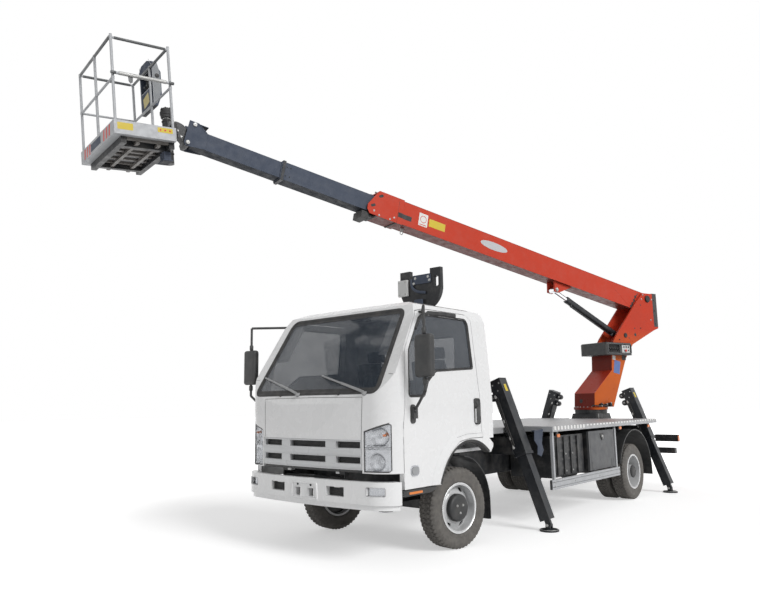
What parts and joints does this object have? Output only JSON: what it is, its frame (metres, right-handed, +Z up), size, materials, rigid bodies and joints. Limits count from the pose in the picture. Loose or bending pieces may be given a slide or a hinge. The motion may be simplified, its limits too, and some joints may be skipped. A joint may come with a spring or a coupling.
{
  "type": "cherry picker truck",
  "caption": "Light cab-over truck with a slewing telescopic boom, a work basket, slanted stabiliser legs, opening doors and a tilting cab.",
  "frame": {"origin": "on the ground under the middle of the outer box", "axes": "+X forward, +Y to the vehicle's left, +Z up"},
  "size_m": [9.346, 4.0536, 5.4655],
  "materials": {
    "chassis_black": "satin",
    "aluminium": "satin",
    "black_plastic": "satin",
    "white_paint": "gloss",
    "glass": "gloss",
    "lamp": "gloss",
    "bright_trim": "gloss",
    "seat_fabric": "matte",
    "red_paint": "gloss",
    "grey_paint": "satin",
    "chrome": "gloss",
    "tyre": "matte",
    "rim_silver": "satin"
  },
  "bodies": {
    "chassis": {"chassis_frame": "chassis_black", "engine_block": "chassis_black", "front_axle": "chassis_black", "rear_axle": "chassis_black", "subframe": "chassis_black", "leg_box_front_left": "chassis_black", "leg_box_front_right": "chassis_black", "leg_box_rear_left": "chassis_black", "leg_box_rear_right": "chassis_black", "deck": "aluminium", "fuel_tank": "aluminium", "battery_box": "chassis_black", "toolbox": "chassis_black", "guard_left": "aluminium", "guard_right": "aluminium", "wheel_arch_left": "chassis_black", "wheel_arch_right": "chassis_black", "rear_bars": "chassis_black", "front_bumper": "white_paint", "boom_rest": "chassis_black"},
    "knuckle_left": {"knuckle_left": "chassis_black"},
    "knuckle_right": {"knuckle_right": "chassis_black"},
    "wheel_front_left": {"rim_front_left": "rim_silver", "tyre_front_left": "tyre"},
    "wheel_front_right": {"rim_front_right": "rim_silver", "tyre_front_right": "tyre"},
    "wheel_rear_left": {"rims_rear_left": "rim_silver", "tyres_rear_left": "tyre"},
    "wheel_rear_right": {"rims_rear_right": "rim_silver", "tyres_rear_right": "tyre"},
    "cab": {"cab_shell": "white_paint", "windscreen": "glass", "rear_window": "glass", "grille": "bright_trim", "headlamps": "lamp", "seats": "seat_fabric", "dashboard": "black_plastic"},
    "door_left": {"door_left": "white_paint", "door_glass_left": "glass", "mirror_left": "black_plastic"},
    "door_right": {"door_right": "white_paint", "door_glass_right": "glass", "mirror_right": "black_plastic"},
    "leg_front_left": {"leg_front_left": "chassis_black"},
    "leg_front_right": {"leg_front_right": "chassis_black"},
    "leg_rear_left": {"leg_rear_left": "chassis_black"},
    "leg_rear_right": {"leg_rear_right": "chassis_black"},
    "toolbox_door": {"toolbox_door": "black_plastic"},
    "turret": {"turret": "red_paint", "control_console": "black_plastic"},
    "luff_barrel": {"luff_barrel": "chassis_black"},
    "luff_rod": {"luff_rod": "chrome"},
    "boom_outer": {"boom_outer": "red_paint"},
    "boom_mid": {"boom_mid": "grey_paint"},
    "boom_inner": {"boom_inner": "grey_paint"},
    "basket_carrier": {"basket_carrier": "chassis_black"},
    "basket": {"basket_frame": "chassis_black", "basket_cage": "aluminium", "basket_console": "grey_paint"},
    "gate_bar": {"gate_bar": "aluminium"}
  },
  "joints": [
    {"name": "steer_left", "type": "hinge", "parent": "chassis", "child": "knuckle_left", "pos_m": [2.15088, 1.40679, 0.3835], "axis": [0, 0, 1], "range_deg": [-29.7, 46.3]},
    {"name": "steer_right", "type": "hinge", "parent": "chassis", "child": "knuckle_right", "pos_m": [2.15088, 0.02679, 0.3835], "axis": [0, 0, 1], "range_deg": [-29.7, 46.3]},
    {"name": "roll_front_left", "type": "hinge", "parent": "knuckle_left", "child": "wheel_front_left", "pos_m": [2.17253, 1.55522, 0.3835], "axis": [0.1444, 0.9895, 0], "continuous": true},
    {"name": "roll_rear_left", "type": "hinge", "parent": "chassis", "child": "wheel_rear_left", "pos_m": [-2.01912, 1.52679, 0.3835], "axis": [0, 1, 0], "continuous": true},
    {"name": "roll_front_right", "type": "hinge", "parent": "knuckle_right", "child": "wheel_front_right", "pos_m": [2.12923, -0.12164, 0.3835], "axis": [0.1444, 0.9895, 0], "continuous": true},
    {"name": "roll_rear_right", "type": "hinge", "parent": "chassis", "child": "wheel_rear_right", "pos_m": [-2.01912, -0.09321, 0.3835], "axis": [0, 1, 0], "continuous": true},
    {"name": "cab_tilt", "type": "hinge", "parent": "chassis", "child": "cab", "pos_m": [3.24088, 0.71679, 0.79], "axis": [0, 1, 0], "range_deg": [0, 45]},
    {"name": "door_left_swing", "type": "hinge", "parent": "cab", "child": "door_left", "pos_m": [3.11188, 1.71779, 1], "axis": [0, 0, -1], "range_deg": [0, 70]},
    {"name": "door_right_swing", "type": "hinge", "parent": "cab", "child": "door_right", "pos_m": [3.11188, -0.28421, 1], "axis": [0, 0, 1], "range_deg": [0, 70]},
    {"name": "leg_front_left_slide", "type": "slide", "parent": "chassis", "child": "leg_front_left", "axis": [0, 0.342, -0.9397], "range_m": [-0.7, 0.15]},
    {"name": "leg_front_right_slide", "type": "slide", "parent": "chassis", "child": "leg_front_right", "axis": [0, -0.342, -0.9397], "range_m": [-0.7, 0.15]},
    {"name": "leg_rear_left_slide", "type": "slide", "parent": "chassis", "child": "leg_rear_left", "axis": [0, 0.342, -0.9397], "range_m": [-0.7, 0.15]},
    {"name": "leg_rear_right_slide", "type": "slide", "parent": "chassis", "child": "leg_rear_right", "axis": [0, -0.342, -0.9397], "range_m": [-0.7, 0.15]},
    {"name": "toolbox_door_drop", "type": "hinge", "parent": "chassis", "child": "toolbox_door", "pos_m": [-0.93912, 1.76179, 0.512], "axis": [-1, 0, 0], "range_deg": [0, 90]},
    {"name": "slew", "type": "hinge", "parent": "chassis", "child": "turret", "pos_m": [-2.99912, 0.71679, 1.278], "axis": [0, 0, 1], "range_deg": [-163.2, 196.8]},
    {"name": "luff", "type": "hinge", "parent": "turret", "child": "boom_outer", "pos_m": [-4.37383, 1.13184, 3.152], "axis": [-0.289, -0.9573, 0], "range_deg": [-10.5, 64.5]},
    {"name": "luff_barrel_swing", "type": "hinge", "parent": "turret", "child": "luff_barrel", "pos_m": [-3.74583, 0.94224, 2.48], "axis": [-0.289, -0.9573, 0], "range_deg": [-10.15, 61.35]},
    {"name": "luff_rod_slide", "type": "slide", "parent": "luff_barrel", "child": "luff_rod", "axis": [0.8693, -0.2624, 0.419], "range_m": [-0.1657, 0.9919]},
    {"name": "extend_mid", "type": "slide", "parent": "boom_outer", "child": "boom_mid", "axis": [0.9413, -0.2842, 0.1822], "range_m": [-1.305, 3.045]},
    {"name": "extend_inner", "type": "slide", "parent": "boom_mid", "child": "boom_inner", "axis": [0.9413, -0.2842, 0.1822], "range_m": [-0.9707, 2.2583]},
    {"name": "basket_level", "type": "hinge", "parent": "boom_inner", "child": "basket_carrier", "pos_m": [3.50691, -1.2475, 4.48958], "axis": [-0.289, -0.9573, 0], "range_deg": [-64.7, 10.7]},
    {"name": "basket_swing", "type": "hinge", "parent": "basket_carrier", "child": "basket", "pos_m": [3.68052, -1.29991, 4.28626], "axis": [0.0918, -0.0277, 0.9954], "range_deg": [-97, 83]},
    {"name": "gate_lift", "type": "slide", "parent": "basket", "child": "gate_bar", "axis": [0.0918, -0.0277, 0.9954], "range_m": [0, 0.4]}
  ],
  "couplings": [
    {"joint": "steer_right", "follows": "steer_left", "ratio": 1},
    {"joint": "luff_barrel_swing", "follows": "luff", "ratio": 0.948},
    {"joint": "luff_rod_slide", "follows": "luff", "m_per_rad": 0.87667},
    {"joint": "extend_inner", "follows": "extend_mid", "ratio": 0.74},
    {"joint": "basket_level", "follows": "luff", "ratio": -1}
  ]
}
